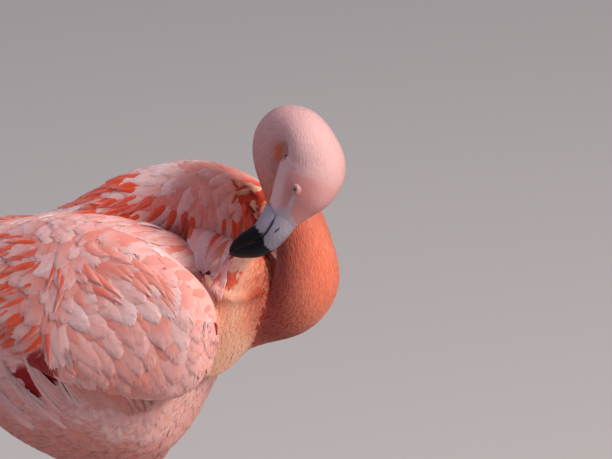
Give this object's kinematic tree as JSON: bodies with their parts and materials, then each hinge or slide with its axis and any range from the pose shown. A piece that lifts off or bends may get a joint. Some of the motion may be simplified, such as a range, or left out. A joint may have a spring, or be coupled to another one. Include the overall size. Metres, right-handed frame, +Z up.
{
  "type": "chilean flamingo",
  "caption": "Life-size standing flamingo on two webbed feet, neck looped back over the shoulders so the hooked bill preens between the folded wings.",
  "frame": {"origin": "middle of the footprint box, on the floor under the webbed feet", "axes": "+Z up, +X the way the breast points, +Y the bird's left"},
  "size_m": [0.617, 0.2362, 0.9477],
  "materials": {
    "body_plumage": "soft pale pink feathers",
    "wing_plumage": "pale pink feathers streaked with orange red",
    "neck_plumage": "short salmon orange feathers, peach at the foot of the neck",
    "head_plumage": "very short pale pink feathers",
    "bill": "horn, grey white at the base and glossy black over the hooked end",
    "eye": "wet glassy pale yellow with a dark pupil",
    "leg_skin": "scaled greyish mauve pink skin",
    "joint_skin": "scaled deep pink skin",
    "claw": "dark horn"
  },
  "bodies": {
    "root": {"trunk": "body_plumage", "tail": "body_plumage", "neck_base": "neck_plumage", "neck_1_bulge": "neck_plumage", "neck_2_rise": "neck_plumage", "neck_3_upper": "head_plumage", "neck_4_loop": "head_plumage", "head": "head_plumage", "bill_upper": "bill", "bill_lower": "bill", "wing_left": "wing_plumage", "thigh_left": "body_plumage", "eye_left": "eye", "shank_left": "leg_skin", "ankle_left": "joint_skin", "shin_left": "leg_skin", "foot_left": "joint_skin", "claw_inner_left": "claw", "claw_middle_left": "claw", "claw_outer_left": "claw", "claw_hind_left": "claw", "wing_right": "wing_plumage", "thigh_right": "body_plumage", "eye_right": "eye", "shank_right": "leg_skin", "ankle_right": "joint_skin", "shin_right": "leg_skin", "foot_right": "joint_skin", "claw_inner_right": "claw", "claw_middle_right": "claw", "claw_outer_right": "claw", "claw_hind_right": "claw"}
  },
  "joints": []
}
